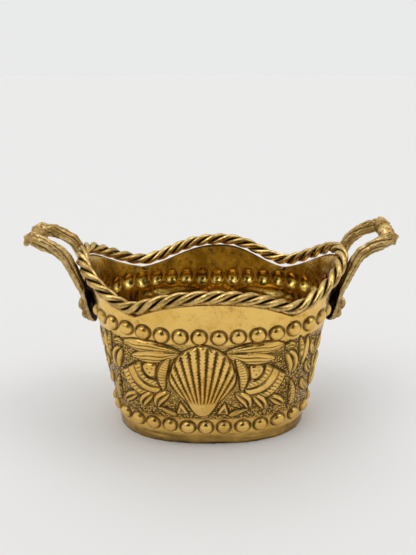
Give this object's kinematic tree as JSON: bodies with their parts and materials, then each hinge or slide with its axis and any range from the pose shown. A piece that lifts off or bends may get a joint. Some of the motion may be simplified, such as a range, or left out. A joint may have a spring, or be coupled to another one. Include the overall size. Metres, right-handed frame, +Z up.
{
  "type": "planter pot",
  "caption": "Oval flared sheet-brass planter with a scalloped rope-edged rim, beaded bands and riveted cast loop handles.",
  "frame": {"origin": "centre of the underside of the base", "axes": "+X along the length to one handle, +Y to the back, +Z up out of the mouth"},
  "size_m": [0.252, 0.1258, 0.1505],
  "materials": {
    "pressed_brass": "aged polish, dark in the hollows",
    "rope_brass": "dull drawn wire, dark between the strands",
    "cast_brass": "rough casting, brown in the grooves",
    "copper": "dull red copper",
    "solder": "dull grey-yellow solder"
  },
  "bodies": {
    "root": {"front_wall": "pressed_brass", "back_wall": "pressed_brass", "base_plate": "pressed_brass", "rope_strand_1": "rope_brass", "rope_strand_2": "rope_brass", "rope_strand_3": "rope_brass", "rope_tack_1": "solder", "rope_tack_2": "solder", "rope_tack_3": "solder", "rope_tack_4": "solder", "rope_tack_5": "solder", "rope_tack_6": "solder", "right_handle": "cast_brass", "left_handle": "cast_brass", "right_rivet_upper_front": "copper", "right_rivet_upper_back": "copper", "right_rivet_lower": "copper", "right_rove_upper_front": "copper", "right_rove_upper_back": "copper", "right_rove_lower": "copper", "left_rivet_upper_front": "copper", "left_rivet_upper_back": "copper", "left_rivet_lower": "copper", "left_rove_upper_front": "copper", "left_rove_upper_back": "copper", "left_rove_lower": "copper"}
  },
  "joints": []
}
